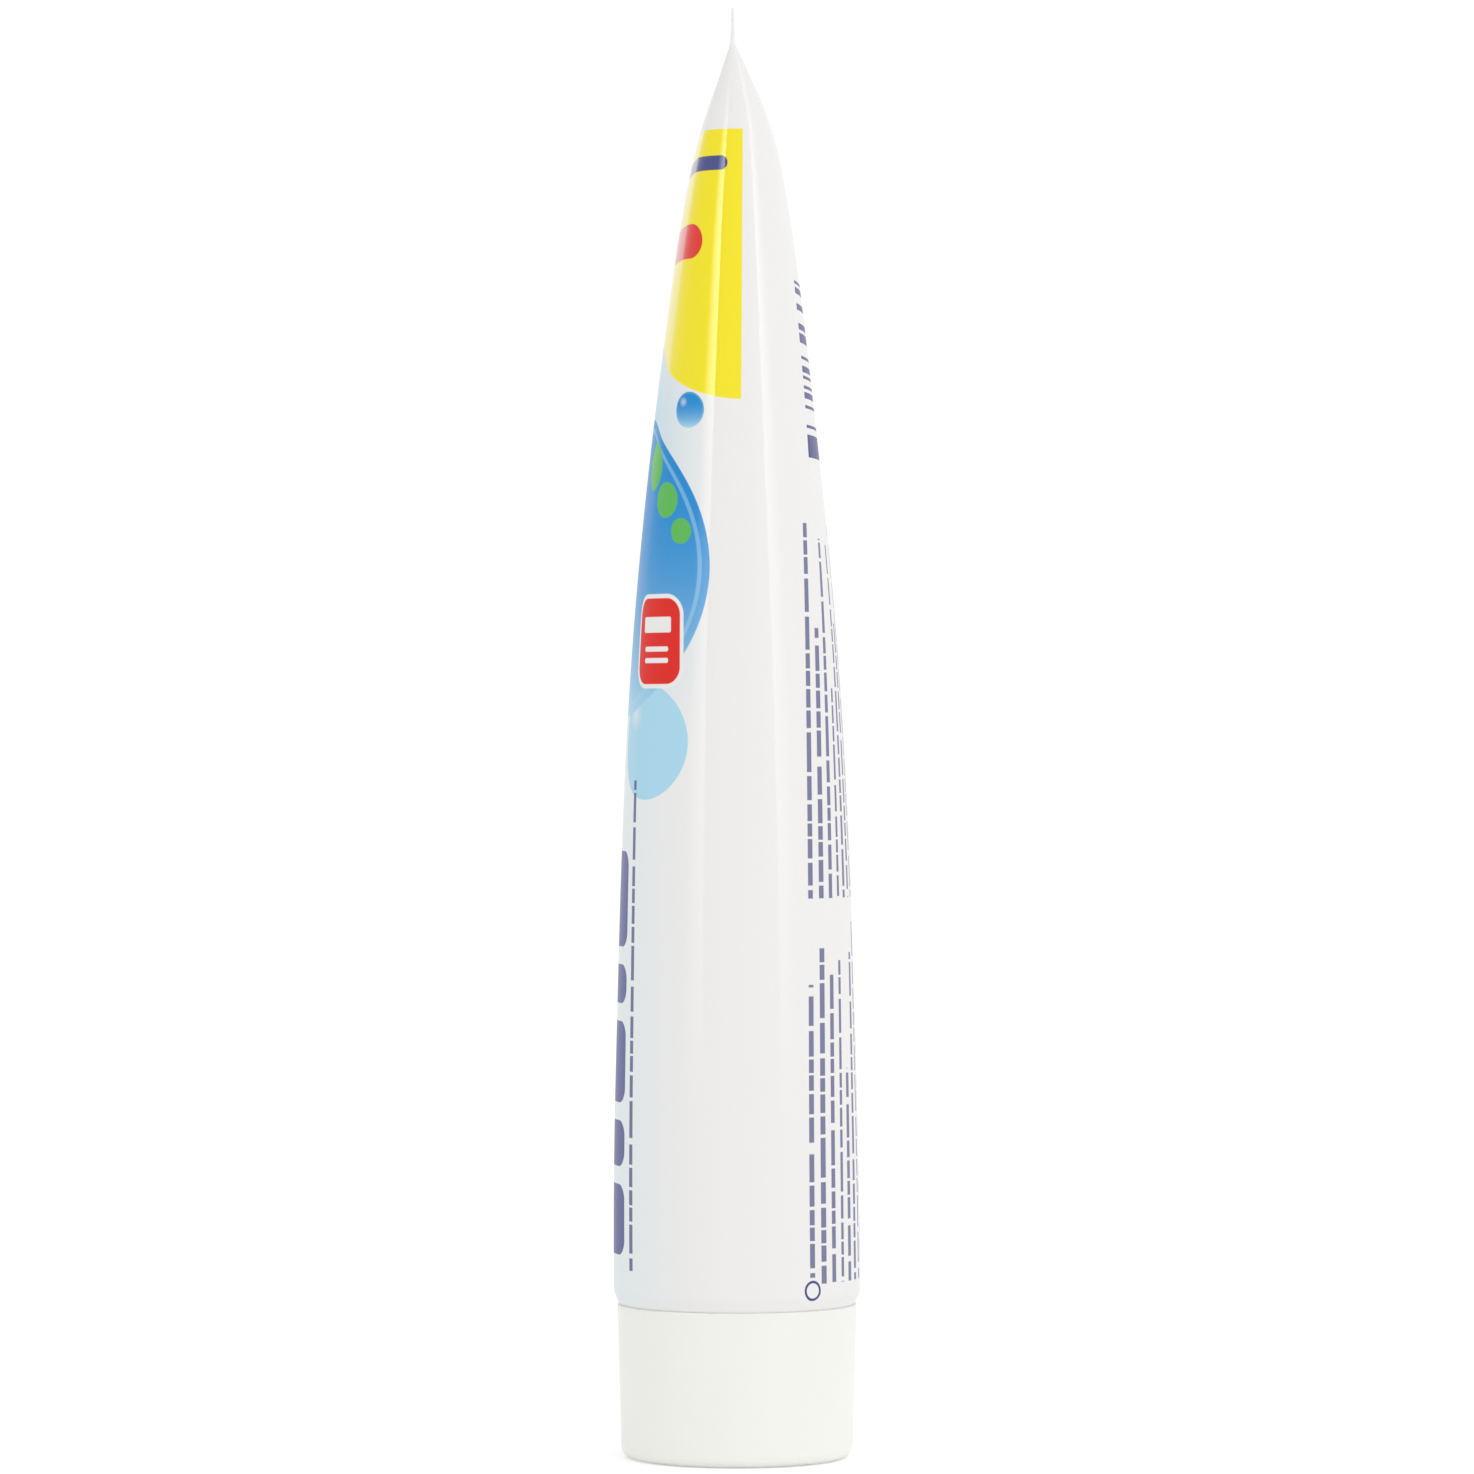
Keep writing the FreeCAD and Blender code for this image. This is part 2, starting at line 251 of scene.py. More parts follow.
class Sleeve:
    """The sleeve's surface as a function of girth and of a path of height and inset."""

    def __init__(self, shape):
        self.shape = shape
        self.radius = TUBE_RADIUS
        self.quarter = math.pi / 2 * self.radius
        self.lip_z = SLEEVE_LOW.z
        self.top_z = SLEEVE_HIGH.z
        self.foot_z = self.top_z - shape.crimp_height
        self.round_z = self.lip_z + shape.curl + shape.straight

    def half_and_lean(self, height):
        """Half thickness and middle of each section.

        The walls follow the outline's spline, and run into the crimp as the upper
        branch of a hyperbola between the wall's line and the crimp's face. The crimp
        thins towards its end.
        """
        rise = self.foot_z - self.round_z
        share = (height - self.round_z) / rise
        along = np.clip(share, 0, 1)
        wedge = smooth_curve(OUTLINE[:, 0], OUTLINE[:, 1], along) * self.radius
        near = 0.999
        last = smooth_curve(OUTLINE[:, 0], OUTLINE[:, 1], np.array([near, 1.0])) * self.radius
        wedge = wedge + np.maximum(share - 1, 0) * (last[1] - last[0]) / (1 - near)
        thinning = self.shape.crimp_taper * ramp(self.foot_z, self.top_z, height)
        flat = self.shape.crimp_thickness / 2 * (1 - thinning)
        free = wedge - flat
        soft = self.shape.crimp_foot_round * ramp(0.85, 1.0, share)
        half = flat + (free + np.sqrt(free**2 + soft**2)) / 2
        lean = smooth_curve(OUTLINE[:, 0], OUTLINE[:, 2], along) * MM
        return np.where(share > 0, half, self.radius), np.where(share > 0, lean, 0)

    def points(self, girth, height, inset):
        """Points of the sleeve on a grid of path rows and girth columns.

        Each section is four tangent arcs of the round end's perimeter: two broad arcs
        and two end arcs. Girth runs from the front's middle towards +X.
        """
        half, lean = self.half_and_lean(height)
        broad_turn = self.shape.flat_share * half / self.radius
        end_turn = math.pi / 2 - broad_turn
        lift = np.sin(end_turn)
        spread = end_turn * (1 - lift) - broad_turn * lift
        end = (self.quarter * (1 - lift) - broad_turn * half) / spread
        broad = (end_turn * half - self.quarter * lift) / spread
        end, broad, broad_turn, lift = end[:, None], broad[:, None], broad_turn[:, None], lift[:, None]
        run = np.abs(girth)[None, :]
        from_middle = self.quarter - np.abs(run - self.quarter)
        broad_run = broad * broad_turn
        on_broad = from_middle <= broad_run
        angle = np.where(on_broad, from_middle / broad, broad_turn + (from_middle - broad_run) / end)
        depth = inset[:, None]
        x_end = (broad - end) * np.cos(end_turn)[:, None] + (end - depth) * np.sin(angle)
        y_end = (end - depth) * np.cos(angle)
        x_broad = (broad - depth) * np.sin(angle)
        y_broad = (broad - depth) * np.cos(angle) - (broad - end) * lift
        x = np.where(on_broad, x_broad, x_end) * np.sign(girth)[None, :]
        y = np.where(on_broad, y_broad, y_end) * np.where(run < self.quarter, -1, 1)
        z = np.broadcast_to(height[:, None], x.shape)
        return np.stack([x, y + lean[:, None], z], axis=-1)

    def outer_path(self):
        """Height and inset of the rows from the lip's edge up the outside to the crimp's end.

        The curl swells over its lower turn, where it sits on the cap's rim.
        """
        shape = self.shape
        chamfer = 0.08 * MM
        foot_low = self.foot_z - 3 * MM
        foot_high = self.foot_z + 1 * MM
        turn = np.linspace(0, math.pi / 2, 19)
        swell_end, round_again = 0.7, 1.07
        bulge = shape.curl + shape.seat * (1 - ramp(swell_end, round_again, turn))
        curl_z = self.lip_z + shape.curl - bulge * np.cos(turn)
        curl_inset = shape.curl - bulge * np.sin(turn)
        body_z = np.linspace(self.lip_z + shape.curl, foot_low, 130)[1:]
        foot_z = np.linspace(foot_low, foot_high, 24)[1:]
        crimp_z = np.linspace(foot_high, self.top_z - chamfer, 40)[1:]
        press = self.groove(crimp_z)
        height = np.concatenate([[curl_z[0]], curl_z, body_z, foot_z, crimp_z, [self.top_z]])
        zeros = np.zeros(len(body_z) + len(foot_z))
        inset = np.concatenate([[shape.curl + shape.lip], curl_inset, zeros, press, [chamfer]])
        return height, inset

    def groove(self, height):
        """Pressed lines across the crimp: depth times the positive part of a sine, to the fourth."""
        pitch = 0.9 * MM
        wave = np.maximum(np.sin((height - self.foot_z) / pitch * 2 * math.pi), 0)
        return self.shape.groove_depth * wave**4

    def inner_path(self):
        """Height and inset of the rows from the ceiling under the crimp down to the lip's edge."""
        shape = self.shape
        turn = np.linspace(math.pi / 2, 0, 8)
        ceiling = self.foot_z - shape.weld_depth
        body_z = np.linspace(ceiling, self.lip_z + shape.curl, 60)[:-1]
        curl_z = self.lip_z + shape.curl - (shape.curl - shape.wall) * np.cos(turn)
        curl_inset = shape.curl - (shape.curl - shape.wall) * np.sin(turn)
        height = np.concatenate([body_z, curl_z, [self.lip_z + shape.wall]])
        inset = np.concatenate([np.full(len(body_z), shape.wall), curl_inset, [shape.curl + shape.lip]])
        return height, inset

    def girths(self):
        """Girth columns from the back's middle round by the front, closer at the seam and the sides."""
        whole = 4 * self.quarter
        even = np.arange(self.shape.columns) / self.shape.columns * whole - whole / 2
        edge = -self.quarter - self.shape.seam_width / 2
        seam = np.linspace(edge - SEAM_STEP, edge + SEAM_STEP, 5)
        side = np.linspace(-SIDE_SPAN, SIDE_SPAN, 13)
        close = np.concatenate([seam, side - self.quarter, side + self.quarter])
        apart = np.abs(even[:, None] - close[None, :]).min(axis=1)
        return np.sort(np.concatenate([even[apart > SEAM_STEP], close]))

    def seam(self, girth, height):
        """Rise of the overlapped edge: a step at the seam that dies away over half the far side."""
        edge = -self.quarter - self.shape.seam_width / 2
        step = ramp(edge - SEAM_STEP, edge + SEAM_STEP, girth)
        fade = 1 - ramp(edge + 2 * SEAM_STEP, edge + 3 * self.shape.seam_width, girth)
        along = ramp(self.round_z, self.round_z + 2 * MM, height)
        along = along * (1 - ramp(self.foot_z - 6 * MM, self.foot_z - 2 * MM, height))
        return self.shape.seam_height * along[:, None] * (step * fade)[None, :]


def grid_faces(rows, columns):
    """Quads between the rows of a grid whose columns close on themselves."""
    row, column = np.meshgrid(np.arange(rows - 1), np.arange(columns), indexing="ij")
    beside = (column + 1) % columns
    corners = [row * columns + column, row * columns + beside]
    corners += [(row + 1) * columns + beside, (row + 1) * columns + column]
    return np.stack(corners, axis=-1).reshape(-1, 4)


def closed_grid(name, points):
    """Mesh object from a grid closed round its columns and by one flat face at each end."""
    rows, columns = points.shape[:2]
    faces = grid_faces(rows, columns).tolist()
    faces.append(list(range(columns))[::-1])
    faces.append(list(range((rows - 1) * columns, rows * columns)))
    mesh = bpy.data.meshes.new(name)
    mesh.from_pydata(points.reshape(-1, 3).tolist(), [], faces)
    mesh.polygons.foreach_set("use_smooth", np.ones(len(mesh.polygons), bool))
    mesh.set_sharp_from_angle(angle=math.radians(35))
    mesh.update()
    piece = bpy.data.objects.new(name, mesh)
    bpy.context.scene.collection.objects.link(piece)
    return piece


def helix_ridge(radius, rise, base_z, pitch, turns, width, inward):
    """Thread ridge: a rounded trapezoid carried round a helix, run out to nothing at both ends.

    Point = (r*cos a, r*sin a, base + pitch*a/(2*pi) + w), where r is the wall's radius plus
    or minus the ridge's height and w runs across its width.
    """
    per_turn = 72
    proud = 0.01 * MM
    count = int(turns * per_turn)
    angle = np.linspace(0, 2 * math.pi * turns, count)
    along = np.linspace(0, 1, count)
    run_out = ramp(0, 0.08, along) * (1 - ramp(0.92, 1, along))
    across = np.array([-0.5, -0.28, -0.2, 0.2, 0.28, 0.5])
    crest = np.array([0, 0.75, 1, 1, 0.75, 0])
    side = -1 if inward else 1
    bedded = 0.06 * MM
    top = radius + side * (crest[None, :] * rise * run_out[:, None] + proud)
    under = np.full((count, 2), radius - side * bedded)
    reach = np.concatenate([top, under], axis=1)
    spread = np.concatenate([across, [0.5, -0.5]])[None, :] * width * (0.4 + 0.6 * run_out[:, None])
    x = reach * np.cos(angle)[:, None]
    y = reach * np.sin(angle)[:, None]
    z = base_z + pitch * angle[:, None] / (2 * math.pi) + spread
    points = np.stack([x, y, z], axis=-1)
    return points[:, ::-1] if inward else points


class Number:
    """A shader socket; an operator on it adds a Math node and gives the new socket."""

    def __init__(self, net, socket):
        self.net = net
        self.socket = socket

    def apply(self, operation, *others, clamp=False):
        sockets = {index + 1: other for index, other in enumerate(others)}
        settings = {"operation": operation, "use_clamp": clamp}
        return self.net.add("ShaderNodeMath", settings, {0: self, **sockets})[0]

    def __add__(self, other):
        return self.apply("ADD", other)

    def __radd__(self, other):
        return self.apply("ADD", other)

    def __sub__(self, other):
        return self.apply("SUBTRACT", other)

    def __rsub__(self, other):
        return (self * -1) + other

    def __mul__(self, other):
        return self.apply("MULTIPLY", other)

    def __rmul__(self, other):
        return self.apply("MULTIPLY", other)

    def __truediv__(self, other):
        return self.apply("DIVIDE", other)

    def __abs__(self):
        return self.apply("ABSOLUTE")

    def over(self, other):
        return self.apply("MAXIMUM", other)

    def under(self, other):
        return self.apply("MINIMUM", other)

    def root(self):
        return self.apply("SQRT")

    def wave(self):
        return self.apply("SINE")

    def floor(self):
        return self.apply("FLOOR")

    def sign(self):
        return self.apply("SIGN")

    def clamp(self):
        return self.apply("ADD", 0.0, clamp=True)


class Net:
    """Node tree of a material or of the world, with one method that adds any node."""

    def __init__(self, tree):
        self.tree = tree
        tree.nodes.clear()

    def add(self, kind, settings=None, inputs=None):
        """Adds a node: its settings first, then the values or links of its sockets."""
        node = self.tree.nodes.new(kind)
        for name, value in (settings or {}).items():
            if name == "stops":
                for stop, (place, colour) in zip(node.color_ramp.elements, value):
                    stop.position = place
                    stop.color = colour
            else:
                setattr(node, name, value)
        for name, value in (inputs or {}).items():
            if isinstance(value, Number):
                self.tree.links.new(value.socket, node.inputs[name])
            else:
                node.inputs[name].default_value = value
        return [Number(self, socket) for socket in node.outputs]

    def mix(self, share, low, high):
        """Colour mix; colours are sockets or three numbers."""
        inputs = {0: share, 6: opaque(low), 7: opaque(high)}
        return self.add("ShaderNodeMix", {"data_type": "RGBA"}, inputs)[2]

    def noise(self, scale, detail, roughness=0.5):
        """Noise from 0 to 1 over Object coordinates."""
        place = self.add("ShaderNodeTexCoord")[3]
        inputs = {"Vector": place, "Scale": scale, "Detail": detail, "Roughness": roughness}
        return self.add("ShaderNodeTexNoise", None, inputs)[0]

    def bump(self, height, distance, strength=1.0):
        inputs = {"Height": height, "Distance": distance, "Strength": strength}
        return self.add("ShaderNodeBump", None, inputs)[0]

    def surface(self, inputs):
        """Principled surface wired to the material's output."""
        shader = self.add("ShaderNodeBsdfPrincipled", None, inputs)[0]
        self.add("ShaderNodeOutputMaterial", None, {"Surface": shader})


def opaque(colour):
    return colour if isinstance(colour, Number) else (*colour, 1.0)


def new_material(name):
    material = bpy.data.materials.new(name)
    material.use_nodes = True
    return material, Net(material.node_tree)


class Print:
    """Flat shapes printed on the sleeve, in mm along the girth and up the tube."""

    def __init__(self, net):
        self.net = net
        self.across, self.up, depth = net.add(
            "ShaderNodeSeparateXYZ", None, {0: net.add("ShaderNodeUVMap", {"uv_map": "print"})[0]})
        self.aside = abs(self.across)
        self.behind = (HALF_GIRTH - self.aside) * self.across.sign()

    def fill(self, distance, softness=0.12):
        """1 inside a shape and 0 outside, from its signed distance."""
        return (0.5 - distance * (1 / softness)).clamp()

    def disc(self, across, up, radius):
        """Distance to a disc: sqrt(a*a + b*b) - radius."""
        a = self.across - across
        b = self.up - up
        return (a * a + b * b).root() - radius

    def slab(self, across, up, half_across, half_up, corner):
        """Distance to a rectangle with rounded corners."""
        a = abs(self.across - across) - (half_across - corner)
        b = abs(self.up - up) - (half_up - corner)
        outside = (a.over(0) * a.over(0) + b.over(0) * b.over(0)).root()
        return outside + a.over(b).under(0) - corner

    def yellow_field(self):
        """Distance to the field below the crimp, whose lower edge is an arch."""
        rate, swing, middle, top, half_across = 0.11, 4.5, 153.5, 186.2, 28.4
        edge = (self.across * rate + math.pi / 2).wave() * swing + middle
        return (edge - self.up).over(self.up - top).over(self.aside - half_across)

    def chance(self, count):
        """A fixed number from 0 to 1 for each whole number."""
        return self.net.add("ShaderNodeTexWhiteNoise", {"noise_dimensions": "1D"}, {"W": count})[0]

    def dashes(self, seed):
        """Broken line along the tube: its gaps lie where a count of the height is whole.

        The count is 0.28 a mm, swayed by two sines, so the dashes are 2 to 12 mm long.
        """
        sway = (self.up * 0.31 + seed).wave() * 0.4 + (self.up * 0.83 + seed * 2.0).wave() * 0.09
        count = self.up * 0.28 + sway + seed
        off_middle = abs(count - count.floor() - 0.5)
        return ((0.44 - off_middle) * 40).clamp()

    def stripes(self, width):
        """Stripes across the tube: each width of the height is dark or clear by chance."""
        return ((self.chance((self.up / width).floor()) - 0.5) * 1000).clamp()


def bubble(art, inks, colour, across, up, radius, ink):
    """Disc that pales towards its foot, with a thin pale rim and a soft glint."""
    net = art.net
    inside = art.disc(across, up, radius)
    foot = (0.5 - (art.up - up) * (0.5 / radius)).clamp()
    colour = net.mix(art.fill(inside), colour, net.mix(foot * foot * foot, ink, inks.sky))
    rim = abs(inside + radius * 0.07) - radius * 0.015
    colour = net.mix(art.fill(rim) * 0.4, colour, inks.sky)
    glint = art.disc(across - radius * 0.42, up + radius * 0.45, radius * 0.16)
    return net.mix(art.fill(glint, radius * 0.3) * 0.6, colour, inks.ground)


def front_print(art, inks):
    """Front: pale mist, bubbles, yellow field, red badge, green drops and plain bars."""
    net = art.net
    # The mist fades sideways and upward, and the haze sideways and away from 132 mm up.
    mist_share = (1.35 - art.aside * 0.065).clamp() * (6.0 - art.up * 0.055).clamp()
    colour = net.mix(mist_share * 0.6, inks.ground, inks.mist)
    haze = (1.5 - art.aside * 0.062).clamp() * (2.0 - abs(art.up - 132) * 0.062).clamp()
    colour = net.mix(haze * 0.75, colour, inks.sky)
    for across, up, radius, ink in BUBBLES:
        colour = bubble(art, inks, colour, across, up, radius, getattr(inks, ink))
    colour = net.mix(art.fill(art.yellow_field()), colour, inks.yellow)
    thin_bar = art.slab(0, 181.6, half_across=26.3, half_up=1.0, corner=1.0)
    colour = net.mix(art.fill(thin_bar), colour, inks.indigo)
    red_bar = art.slab(0, 171.0, half_across=22.5, half_up=2.4, corner=2.4)
    colour = net.mix(art.fill(red_bar), colour, inks.red)
    for across, up, radius in DROPS:
        colour = net.mix(art.fill(art.disc(across, up, radius)), colour, inks.green)
    badge = art.slab(BADGE_ACROSS, BADGE_UP, half_across=5.4, half_up=6.6, corner=3.0)
    badge_rim = 0.6
    colour = net.mix(art.fill(badge), colour, inks.ground)
    colour = net.mix(art.fill(badge + badge_rim), colour, inks.red)
    for up, half_across, half_up in BADGE_BARS:
        bar = art.slab(BADGE_ACROSS, up, half_across, half_up, 0.3)
        colour = net.mix(art.fill(bar), colour, inks.ground)
    for low, high in SLATE_SPANS:
        bar = art.slab(0, (low + high) / 2, 7.7, (high - low) / 2, 2.2)
        colour = net.mix(art.fill(bar), colour, inks.slate)
    caption = (abs(art.aside - 9.7) - 0.45).over(abs(art.up - 61.5) - 34.5)
    return net.mix(art.fill(caption) * art.dashes(1.0) * 0.85, colour, inks.indigo)


def back_print(art, inks, colour):
    """Back: a stripe block over two blocks of broken fine lines, and a small ring."""
    net = art.net
    line_half, block_half, stripes_half = 0.34, 17.2, 14.0
    count = art.behind / LINE_PITCH
    line = count.floor()
    weight = art.chance(line)
    off_line = abs(count - line - 0.5) * LINE_PITCH
    inside = (off_line - weight * 0.18 - line_half).over(abs(art.behind) - block_half)
    ring = art.disc(HALF_GIRTH - 16.1, 24.6, 1.25)
    inside = inside.over(0.6 - ring)
    for low, high, seed in LINE_BLOCKS:
        short = art.chance(line + seed)
        span = (low - art.up).over(art.up - high + short * short * short * 26)
        lines = art.fill(inside.over(span)) * art.dashes(weight * 20 + seed)
        colour = net.mix(lines * 0.82, colour, inks.indigo)
    block = (abs(art.up - 154.0) - 13.0).over(abs(art.behind) - stripes_half)
    colour = net.mix(art.fill(block) * art.stripes(STRIPE_PITCH), colour, inks.indigo)
    return net.mix(art.fill(abs(ring) - 0.18), colour, inks.indigo)


def laminate_finish(name, inks, printed):
    """Gloss laminate: printed or plain white ground under a clear film that is faintly uneven."""
    material, net = new_material(name)
    colour = (*inks.ground, 1.0)
    gloss, yellow_gloss = 0.35, 0.45
    if printed:
        art = Print(net)
        colour = back_print(art, inks, front_print(art, inks))
        gloss = art.fill(art.yellow_field()) * yellow_gloss + gloss
    grain = net.noise(700.0, 2.0)
    drift = net.noise(45.0, 2.0)
    net.surface({
        "Base Color": colour,
        "Roughness": grain * 0.08 + 0.3,
        "Specular IOR Level": 0.0,
        "Normal": net.bump(grain * 0.02 + drift, 0.00002, 0.5),
        "Coat Weight": gloss,
        "Coat Roughness": 0.07,
    })
    return material


def moulded_finish(name, colour, roughness, grain_size):
    """Moulded plastic: a fine spark-eroded grain and slow changes of gloss."""
    material, net = new_material(name)
    grain = net.noise(grain_size, 3.0, 0.6)
    flow = net.noise(55.0, 3.0)
    shade = [part * 0.975 for part in colour]
    net.surface({
        "Base Color": net.mix(flow, shade, colour),
        "Roughness": flow * 0.08 + grain * 0.06 + (roughness - 0.07),
        "Specular IOR Level": 0.3,
        "Normal": net.bump(grain, 0.00003, 0.5),
        "Subsurface Weight": 0.4,
        "Subsurface Radius": (1.0, 1.0, 1.0),
        "Subsurface Scale": 0.8 * MM,
    })
    return material


def paste_finish(colour):
    """Smooth wet paste with faint folds, its colour painted a little darker in the folds' hollows as
    shade.
    """
    material, net = new_material("paste")
    folds = net.noise(320.0, 4.0, 0.55)
    shade = [part * 0.94 for part in colour]
    net.surface({
        # Painted shade: the colour darkens where the folds' bump is low, in their hollows.
        "Base Color": net.mix(folds, shade, colour),
        "Roughness": folds * 0.12 + 0.2,
        "Normal": net.bump(folds, 0.0002, 0.6),
    })
    return material


def dress(node, material):
    """Gives a solid of the frame its finish."""
    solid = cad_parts[node]
    if not solid.material_slots:
        solid.data.materials.append(material)
    for slot in solid.material_slots:
        slot.material = material


class TUBE_OT_sleeve(bpy.types.Operator):
    """Makes the printed laminate sleeve."""
    bl_idname = "tube.sleeve"
    bl_label = "Printed Sleeve"

    def execute(self, context):
        sleeve = Sleeve(context.scene.tube_sleeve_shape)
        outer_z, outer_inset = sleeve.outer_path()
        inner_z, inner_inset = sleeve.inner_path()
        girth = sleeve.girths()
        outer = sleeve.points(girth, outer_z, outer_inset)
        inner = sleeve.points(girth, inner_z, inner_inset)
        normal = sleeve.points(girth, outer_z, outer_inset - MM) - outer
        outer = outer + normal / MM * sleeve.seam(girth, outer_z)[..., None]
        low, high = np.array(SLEEVE_LOW), np.array(SLEEVE_HIGH)
        piece = closed_grid("printed_sleeve", np.clip(np.concatenate([inner, outer]), low, high))
        self.lay_print(piece.data, girth, np.concatenate([inner_z, outer_z]))
        inks = context.scene.tube_print_colours
        piece.data.materials.append(laminate_finish("laminate_print", inks, True))
        piece.data.materials.append(laminate_finish("laminate_plain", inks, False))
        inside = np.zeros(len(piece.data.polygons), int)
        inside[:(len(inner_z) - 1) * len(girth)] = 1
        inside[-2] = 1
        piece.data.polygons.foreach_set("material_index", inside)
        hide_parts("tube_sleeve")
        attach(piece, "tube")
        return {"FINISHED"}

    def lay_print(self, mesh, girth, height):
        """Map named print: girth across and height up, both in mm, closed at the back's middle."""
        columns = len(girth)
        along = np.append(girth, girth[0] + 4 * math.pi / 2 * TUBE_RADIUS) / MM
        row, column = np.meshgrid(np.arange(len(height) - 1), np.arange(columns), indexing="ij")
        across = np.stack([along[column], along[column + 1], along[column + 1], along[column]], axis=-1)
        low, high = height[row] / MM, height[row + 1] / MM
        up = np.stack([low, low, high, high], axis=-1)
        sides = np.stack([across, up], axis=-1).reshape(-1, 2)
        ceiling = np.stack([girth[::-1] / MM, np.full(columns, height[0] / MM)], axis=-1)
        end = np.stack([girth / MM, np.full(columns, height[-1] / MM)], axis=-1)
        layer = mesh.uv_layers.new(name="print")
        layer.data.foreach_set("uv", np.concatenate([sides, ceiling, end]).ravel())


class TUBE_OT_nozzle(bpy.types.Operator):
    """Finishes the shoulder and puts the thread on its neck."""
    bl_idname = "tube.nozzle"
    bl_label = "Shoulder and Nozzle"

    def execute(self, context):
        parts = context.scene.tube_moulded_parts
        finish = moulded_finish("shoulder_polyethylene", parts.shoulder_colour, 0.38, 900.0)
        dress("shoulder_nozzle", finish)
        above_tip, width = 1.9 * MM, 1.5 * MM
        points = helix_ridge(parts.neck_radius, parts.neck_ridge, SHOULDER_LOW.z + above_tip,
                             parts.thread_pitch, parts.thread_turns, width, inward=False)
        thread = closed_grid("neck_thread", points)
        thread.data.materials.append(finish)
        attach(thread, "tube")
        return {"FINISHED"}


class TUBE_OT_paste(bpy.types.Operator):
    """Finishes the paste in the nozzle."""
    bl_idname = "tube.paste"
    bl_label = "Toothpaste"

    def execute(self, context):
        dress("toothpaste", paste_finish(context.scene.tube_moulded_parts.paste_colour))
        return {"FINISHED"}


class TUBE_OT_cap(bpy.types.Operator):
    """Finishes the screw cap and puts the thread in its socket."""
    bl_idname = "tube.cap"
    bl_label = "Screw Cap"

    def execute(self, context):
        parts = context.scene.tube_moulded_parts
        finish = moulded_finish("cap_polypropylene", parts.cap_colour, 0.34, 1300.0)
        dress("screw_cap", finish)
        above_tip, width = 3.4 * MM, 1.3 * MM
        points = helix_ridge(parts.socket_radius, parts.socket_ridge, SHOULDER_LOW.z + above_tip,
                             parts.thread_pitch, parts.thread_turns, width, inward=True)
        thread = closed_grid("socket_thread", points)
        thread.data.materials.append(finish)
        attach(thread, "cap")
        return {"FINISHED"}


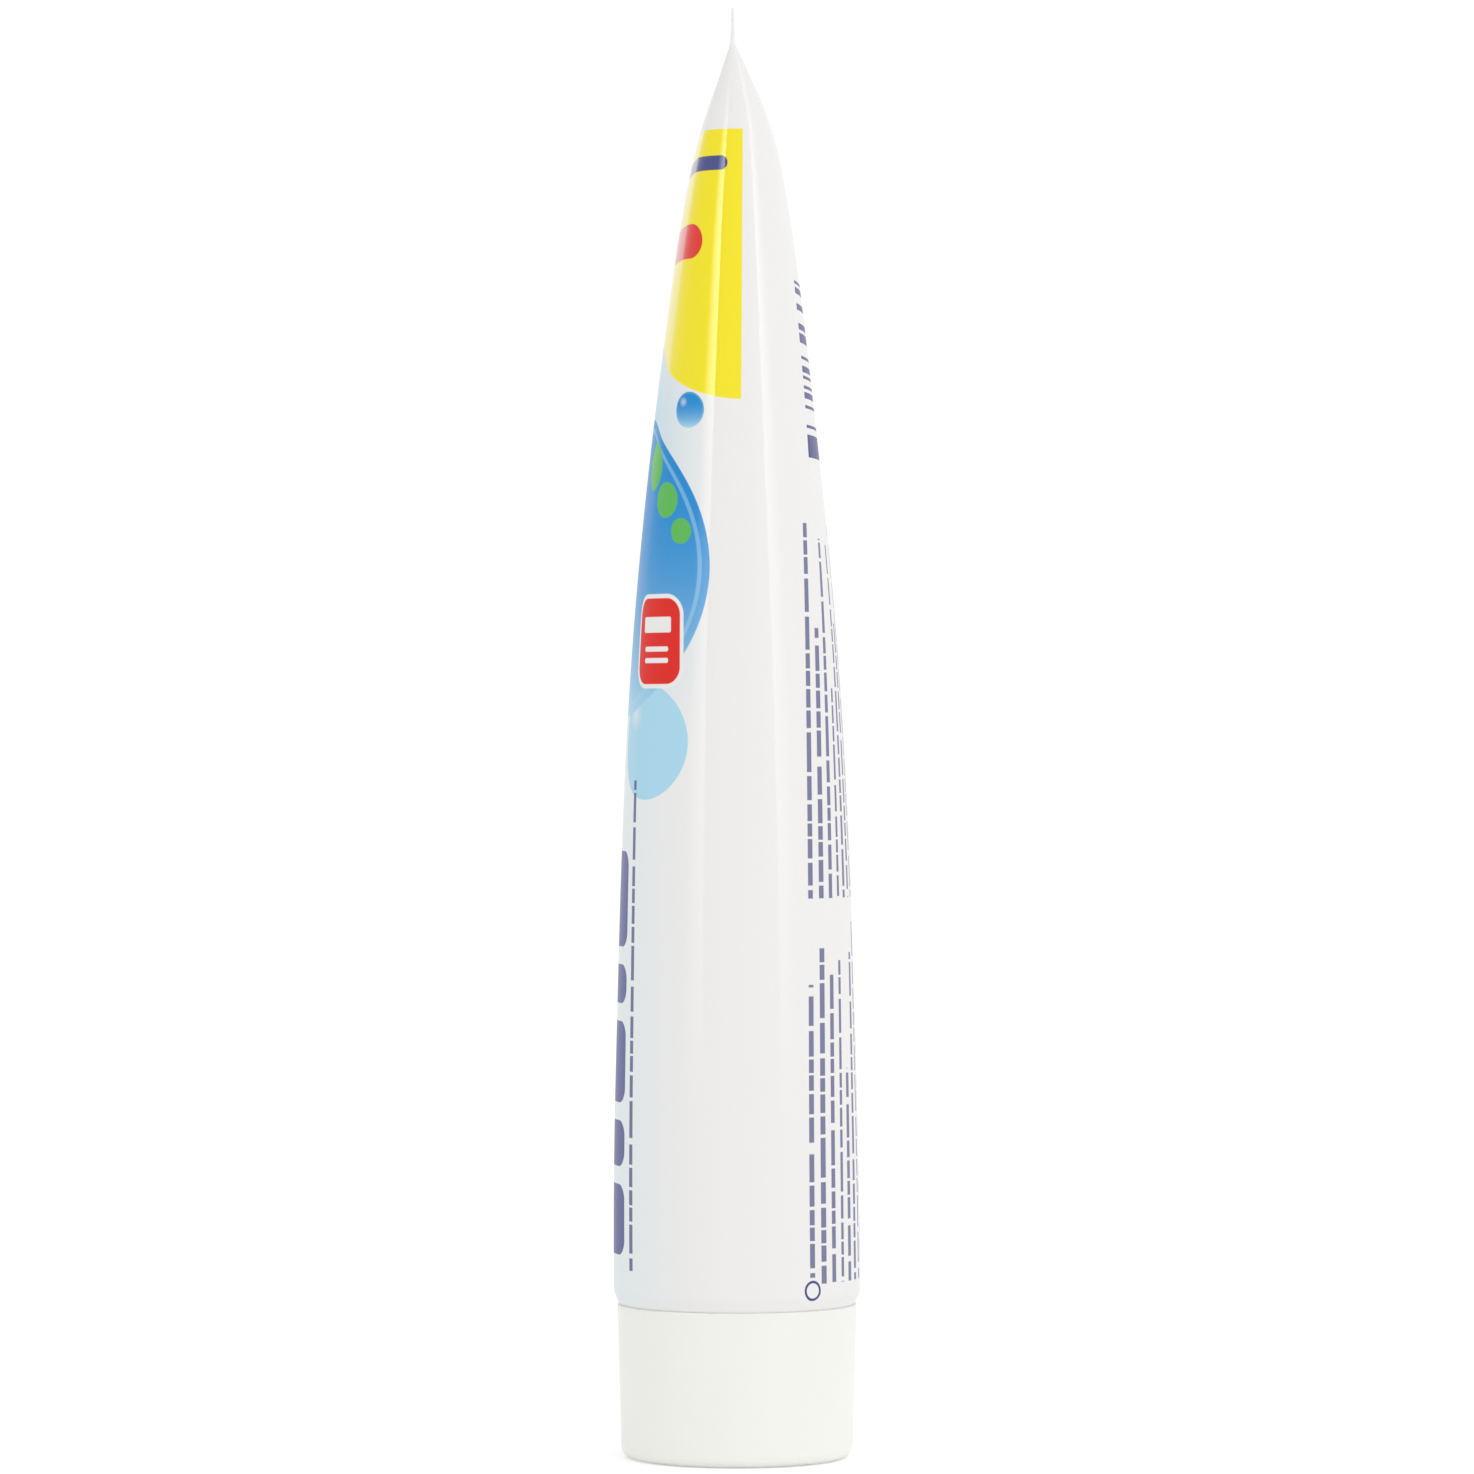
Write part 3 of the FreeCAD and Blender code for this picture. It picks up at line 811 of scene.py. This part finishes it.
class TUBE_OT_stage(bpy.types.Operator):
    """Sets up the floor, the white room, the lamps and the camera."""
    bl_idname = "tube.stage"
    bl_label = "White Studio"

    def execute(self, context):
        studio = context.scene.tube_studio
        context.scene.view_settings.view_transform = "Standard"
        self.lay_floor(studio)
        self.light_room(context.scene, studio)
        for name, bearing, outward, brightness in (
            ("strip_left", studio.left_bearing, 1, studio.left_strip),
            ("strip_right", studio.right_bearing, -1, studio.right_strip),
        ):
            strip = self.stand_lamp(name, bearing, brightness, away=0.6, height=1.0, width=0.2)
            strip.visible_diffuse = False
            self.grade_lamp(strip.data, outward)
        self.stand_lamp("soft_right", 52.0, studio.side_light, away=1.4, height=1.6, width=1.2)
        camera = bpy.data.cameras.new("photo_camera")
        camera.lens = studio.lens
        camera.sensor_width = 36.0
        holder = bpy.data.objects.new("photo_camera", camera)
        holder.location = (studio.camera_distance, 0, studio.camera_height)
        holder.rotation_euler = (math.radians(90), 0, math.radians(90))
        context.scene.collection.objects.link(holder)
        context.scene.camera = holder
        return {"FINISHED"}

    def lay_floor(self, studio):
        """Round white floor a hair under the cap, a little brighter as seen and clear from below."""
        radius, sides, drop = 12, 96, 0.1 * MM
        angle = np.arange(sides) / sides * 2 * math.pi
        rim = np.stack([radius * np.cos(angle), radius * np.sin(angle), np.full(sides, -drop)], axis=-1)
        mesh = bpy.data.meshes.new("floor")
        mesh.from_pydata(rim.tolist(), [], [list(range(sides))])
        floor = bpy.data.objects.new("floor", mesh)
        bpy.context.scene.collection.objects.link(floor)
        material, net = new_material("floor_white")
        path = net.add("ShaderNodeLightPath")
        seen = path[0].over(path[3]).over(path[6])
        cover = net.add("ShaderNodeBsdfDiffuse", None, {"Color": (0.8, 0.8, 0.8, 1)})[0]
        strength = seen * studio.floor_seen + studio.floor_glow
        glow = net.add("ShaderNodeEmission", None, {"Strength": strength})[0]
        both = net.add("ShaderNodeAddShader", None, {0: cover, 1: glow})[0]
        clear = net.add("ShaderNodeBsdfTransparent")[0]
        under = net.add("ShaderNodeNewGeometry")[6]
        sheet = net.add("ShaderNodeMixShader", None, {0: under, 1: both, 2: clear})[0]
        net.add("ShaderNodeOutputMaterial", None, {"Surface": sheet})
        mesh.materials.append(material)

    def light_room(self, scene, studio):
        """White room, dimmer behind on the left; what the camera and reflections see is plain white.

        The dip grows with how far a direction lies towards the bearing of -135 degrees.
        """
        world = bpy.data.worlds.new("white_room")
        world.use_nodes = True
        scene.world = world
        net = Net(world.node_tree)
        path = net.add("ShaderNodeLightPath")
        seen = path[0].over(path[3]).over(path[6])
        ahead, aside, above = net.add(
            "ShaderNodeSeparateXYZ", None, {0: net.add("ShaderNodeTexCoord")[0]})
        slant, spared = -0.71, 0.2
        behind = (ahead * slant + aside * slant - spared).clamp()
        even = 1 - behind * studio.room_dip
        shine = seen * studio.room_seen + (1 - seen) * even * studio.room_light
        room = net.add("ShaderNodeBackground", None, {"Color": (1, 1, 1, 1), "Strength": shine})[0]
        net.add("ShaderNodeOutputWorld", None, {"Surface": room})

    def stand_lamp(self, name, bearing, brightness, away, height, width):
        """Upright rectangular lamp on the floor that faces the tube; bearing from the camera's side."""
        lamp = bpy.data.lights.new(name, "AREA")
        lamp.shape = "RECTANGLE"
        lamp.size = width
        lamp.size_y = height
        lamp.energy = brightness * math.pi * width * height
        holder = bpy.data.objects.new(name, lamp)
        turn = math.radians(bearing)
        holder.location = (away * math.cos(turn), away * math.sin(turn), height / 2)
        holder.rotation_euler = (math.radians(90), 0, math.radians(90) + turn)
        bpy.context.scene.collection.objects.link(holder)
        return holder

    def grade_lamp(self, lamp, outward):
        """Fades a lamp from its inner edge outward, and from 0.15 m of its height down to its foot."""
        lamp.use_nodes = True
        net = Net(lamp.node_tree)
        place = net.add("ShaderNodeNewGeometry")[5]
        side, rise, depth = net.add("ShaderNodeSeparateXYZ", None, {0: place})
        inner = side if outward > 0 else 1 - side
        climb, at_foot = 6.5, 0.05
        strength = inner * (rise * climb + at_foot).clamp()
        glow = net.add("ShaderNodeEmission", None, {"Strength": strength})[0]
        net.add("ShaderNodeOutputLight", None, {"Surface": glow})


class TUBE_PT_panel(bpy.types.Panel):
    """Lists the tube's pieces and sizes."""
    bl_label = "Toothpaste Tube"
    bl_idname = "TUBE_PT_panel"
    bl_space_type = "VIEW_3D"
    bl_region_type = "UI"
    bl_category = "Tube"

    def draw(self, context):
        for operator in OPERATORS:
            self.layout.operator(operator.bl_idname)
        for name, group in GROUPS.items():
            box = self.layout.box()
            for key in group.__annotations__:
                box.prop(getattr(context.scene, name), key)


GROUPS = {
    "tube_sleeve_shape": SleeveShape,
    "tube_print_colours": PrintColours,
    "tube_moulded_parts": MouldedParts,
    "tube_studio": Studio,
}
OPERATORS = (TUBE_OT_sleeve, TUBE_OT_nozzle, TUBE_OT_paste, TUBE_OT_cap, TUBE_OT_stage)


def register():
    for part in (*GROUPS.values(), *OPERATORS, TUBE_PT_panel):
        bpy.utils.register_class(part)
    for name, group in GROUPS.items():
        setattr(bpy.types.Scene, name, bpy.props.PointerProperty(type=group))


def unregister():
    for name in GROUPS:
        delattr(bpy.types.Scene, name)
    for part in (TUBE_PT_panel, *OPERATORS, *GROUPS.values()):
        bpy.utils.unregister_class(part)


def main():
    register()
    bpy.ops.tube.sleeve()
    bpy.ops.tube.nozzle()
    bpy.ops.tube.paste()
    bpy.ops.tube.cap()
    bpy.ops.tube.stage()


if __name__ == "__main__":
    main()
